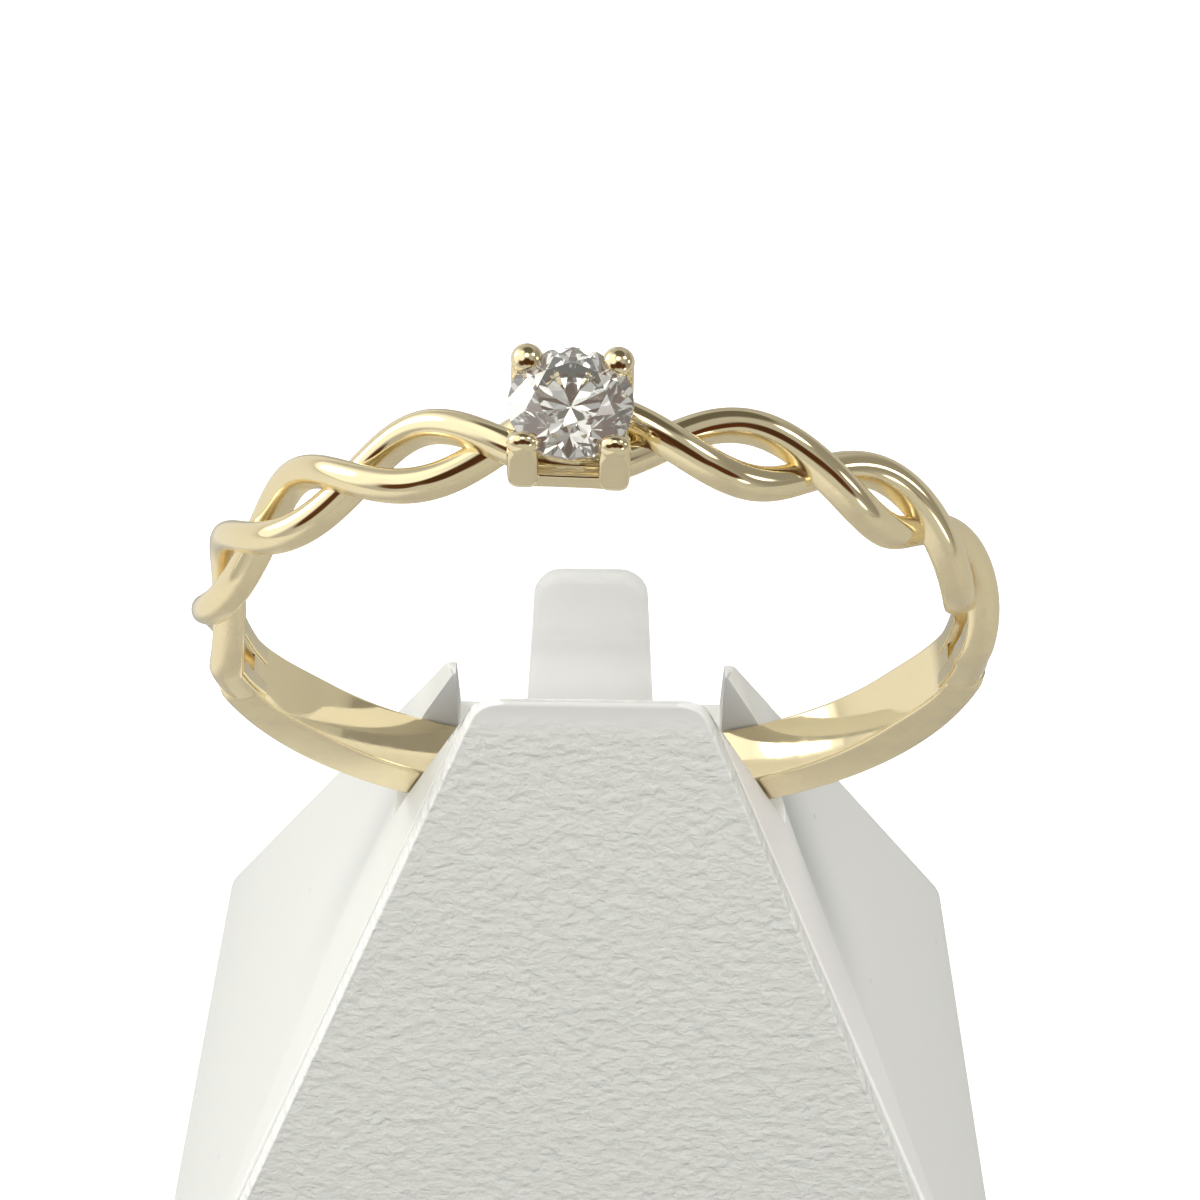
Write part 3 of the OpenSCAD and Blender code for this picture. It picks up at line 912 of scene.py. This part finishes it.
for one, two in zip(front_rows, front_rows[1:]):
    for i in range(len(one) - 1):
        bm.faces.new((one[i], one[i + 1], two[i + 1], two[i]))
loop = front_rows[0] + [row[-1] for row in front_rows[1:]]
loop += list(reversed(front_rows[-1]))[1:] + [row[0] for row in reversed(front_rows[1:-1])]
behind = []
for vert in loop:
    y = PANEL_FRONT_Y[0] + vert.co.z * math.tan(PANEL_LEAN) + PANEL_T / math.cos(PANEL_LEAN)
    behind.append(bm.verts.new((vert.co.x, min(y, PANEL_BACK_Y), vert.co.z)))
    at_top = vert.co.z > PANEL_H - RIM_TOP_BAND
    behind[-1][rim] = RIM_BACK_SHARE if at_top or vert.co.x > 0 else 1.0
for i in range(len(loop)):
    j = (i + 1) % len(loop)
    bm.faces.new((loop[i], behind[i], behind[j], loop[j]))
bm.faces.new(behind)
panel_cover, panel_tree, panel_shader = new_material("grained_leatherette", Roughness=0.62)
panel_blank = finished("front_panel_grained", bm, panel_cover)

GRAIN_INPUTS = (
    # name, kind, value; the grain's pitch is in creases for each millimetre
    ("Across", "NodeSocketFloat", 2.2),
    ("Upwards", "NodeSocketFloat", 2.0),
    ("Relief", "NodeSocketFloat", 0.065 * MM),
    ("Waves", "NodeSocketFloat", 0.05 * MM),
    ("Seed", "NodeSocketFloat", 3.7),
    ("Finish", "NodeSocketMaterial", panel_cover),
)
tree, given = new_tree("crinkled_grain", GRAIN_INPUTS)
spot = xyz(tree, outlet(tree, "GeometryNodeInputPosition"))
pitch = {
    "X": maths(tree, "MULTIPLY", spot[0], maths(tree, "DIVIDE", given["Across"], MM)),
    "Y": given["Seed"],
    "Z": maths(tree, "MULTIPLY", spot[2], maths(tree, "DIVIDE", given["Upwards"], MM)),
}
spot = outlet(tree, "ShaderNodeCombineXYZ", pitch)
crinkle = noise(tree, spot, scale=1.0, detail=2.5, Distortion=0.3)
waves = noise(tree, spot, scale=0.16, detail=2.0)
relief = maths(tree, "MULTIPLY", crinkle, given["Relief"])
relief = maths(tree, "MULTIPLY_ADD", maths(tree, "SUBTRACT", waves, 0.5), given["Waves"], relief)
bare = outlet(tree, "GeometryNodeInputNamedAttribute", {"Name": "plain"}, data_type="FLOAT")
relief = maths(tree, "MULTIPLY", relief, maths(tree, "SUBTRACT", 1.0, bare))
at_rim = outlet(tree, "GeometryNodeInputNamedAttribute", {"Name": "rim"}, data_type="FLOAT")
at_rim = maths(tree, "MINIMUM", maths(tree, "MULTIPLY", at_rim, RIM_BARENESS), 1.0)
relief = maths(tree, "MULTIPLY", relief, maths(tree, "SUBTRACT", 1.0, at_rim))
facing = xyz(tree, outlet(tree, "GeometryNodeInputNormal"))[1]
relief = maths(tree, "MULTIPLY", relief, maths(tree, "LESS_THAN", facing, FRONT_FACING))
push = outlet(tree, "ShaderNodeCombineXYZ", {"Y": relief})
pressed = outlet(tree, "GeometryNodeSetPosition", {"Geometry": given["Geometry"], "Offset": push})
end_tree(tree, pressed, given["Finish"])
panel_mesh = grown("front_panel_grained", tree, GRAIN_INPUTS, panel_blank)
panel = show("front_panel_grained", panel_mesh, PANEL_SHARP_ANGLE)
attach(panel, "root")
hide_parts("front_panel")

place = outlet(panel_tree, "ShaderNodeTexCoord", key="Object")
bare = attribute(panel_tree, "plain")
tone = toned(panel_tree, bare, PANEL_GREY, PANEL_SMOOTH_GREY)
# Painted light: the rim is toned paler.
tone = toned(panel_tree, attribute(panel_tree, "rim"), tone, RIM_PAINTED_LIGHT)
panel_tree.links.new(tone, panel_shader.inputs["Base Color"])
close = outlet(panel_tree, "ShaderNodeMapping", {"Vector": place, "Scale": FINE_GRAIN_SCALE})
fine = noise(panel_tree, close, scale=1.0, detail=3.5, Distortion=0.25)
fine = maths(panel_tree, "MULTIPLY", fine, maths(panel_tree, "SUBTRACT", 1.0, bare))
dent(panel_tree, panel_shader, fine, strength=1.0, depth=FINE_GRAIN_DEPTH)


# The tongue: a thin upright leaf of smooth white card behind the band, with soft edges, which
# keeps the ring from tipping back. Its foot is glued in a pocket at the back of the slot. Its top
# is greyed with painted shade, and low down it glows faintly as painted light.
CARD_EDGE_R = 0.18 * MM
CARD_EDGE_STEPS = 5
CARD_SHARP_ANGLE = 32
CARD_WHITE = (1.0, 1.0, 0.99, 1)
# painted shade greys the card towards its top
CARD_PAINTED_SHADE = (0.53, 0.537, 0.524, 1)
TOP_SHADE_START_H = 31.3 * MM
TOP_SHADE_END_H = 34.4 * MM
TOP_SHADE_BEND = 0.65
# painted light: the lower part of the card glows faintly, though it is no lamp
FOOT_GLOW = 0.15
FOOT_GLOW_H = 28.6 * MM
FOOT_GLOW_END_H = 31.0 * MM

card_cover, tree, shader = new_material(
    "white_card",
    Roughness=0.5,
    Subsurface_Weight=1.0,
    Subsurface_Radius=(1.0, 1.0, 1.0),
    Subsurface_Scale=4 * MM,
    Emission_Color=(1, 1, 0.98, 1),
)
bm = bmesh.new()
bm.from_mesh(softened("tongue_card", "tongue", CARD_EDGE_R, CARD_EDGE_STEPS))
card = show("tongue_card", finished("tongue_card", bm, card_cover), CARD_SHARP_ANGLE)
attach(card, "root")
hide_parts("tongue")

place = outlet(tree, "ShaderNodeTexCoord", key="Object")
fibres = noise(tree, place, scale=2500.0, detail=3.0)
dent(tree, shader, fibres, strength=0.08, depth=DENT_DEPTH)
height = xyz(tree, place)[2]
# Painted light: a faint glow low on the card, fading out upwards.
glow = eased(tree, height, FOOT_GLOW_H, FOOT_GLOW_END_H, low=FOOT_GLOW, high=0.0)
tree.links.new(glow, shader.inputs["Emission Strength"])
# Painted shade: the card greys towards its top.
top_shade = eased(tree, height, TOP_SHADE_START_H, TOP_SHADE_END_H, way="LINEAR")
top_shade = maths(tree, "POWER", top_shade, TOP_SHADE_BEND)
tree.links.new(toned(tree, top_shade, CARD_WHITE, CARD_PAINTED_SHADE), shader.inputs["Base Color"])
